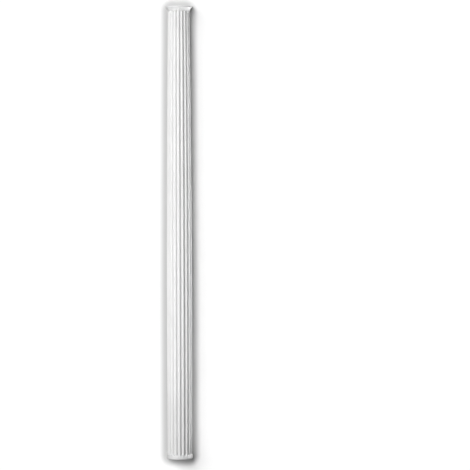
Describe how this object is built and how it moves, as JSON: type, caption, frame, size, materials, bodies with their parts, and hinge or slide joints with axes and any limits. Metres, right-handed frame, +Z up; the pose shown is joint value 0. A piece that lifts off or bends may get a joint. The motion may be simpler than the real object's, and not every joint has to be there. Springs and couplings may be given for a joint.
{
  "type": "half column shaft",
  "caption": "Tall half-round column shaft with concave flutes, a slight swelling and a flared rim at each end; its flat back is fixed to a wall.",
  "frame": {"origin": "the middle of the flat back, half way up the shaft, on the wall's surface", "axes": "+Z up along the shaft to the neck and its flare, +Y into the wall, +X to the right as seen from the front"},
  "size_m": [0.128, 0.064, 2.2],
  "materials": {
    "primed_foam": "factory white primer on moulded hard foam, matt with a slight satin sheen"
  },
  "bodies": {
    "root": {"half_column_shaft": "primed_foam"}
  },
  "joints": []
}
